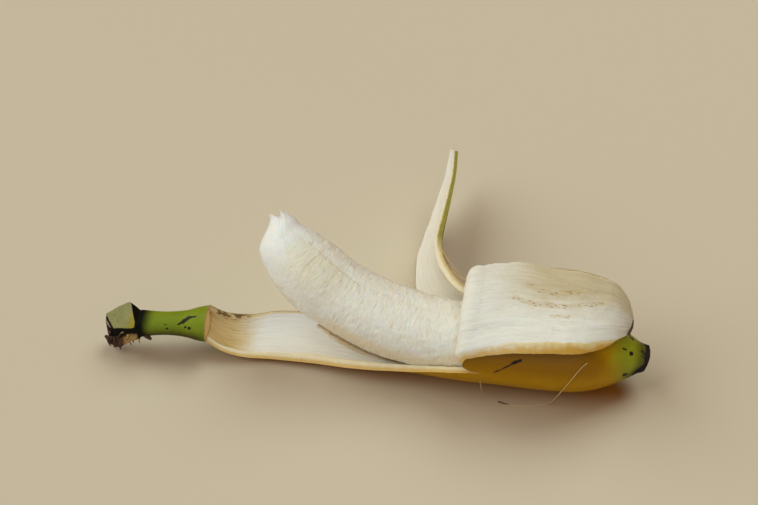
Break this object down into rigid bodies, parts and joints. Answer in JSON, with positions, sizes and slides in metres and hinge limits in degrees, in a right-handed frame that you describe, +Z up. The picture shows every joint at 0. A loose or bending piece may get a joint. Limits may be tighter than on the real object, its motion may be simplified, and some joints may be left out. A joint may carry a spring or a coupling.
{
  "type": "peeled banana",
  "caption": "Half-peeled ripe banana lying down: the fruit curves up out of its skin, one strip folded back over the closed end, one under it and one behind.",
  "frame": {"origin": "on the table, under the middle of the whole object's box", "axes": "+X along the closed part of the skin towards the blossom end, +Y towards the strip that stands out behind, +Z up from the table"},
  "size_m": [0.219, 0.1216, 0.0559],
  "materials": {
    "peel": null,
    "flesh": null
  },
  "bodies": {
    "root": {"peel": "peel", "flesh": "flesh"}
  },
  "joints": []
}
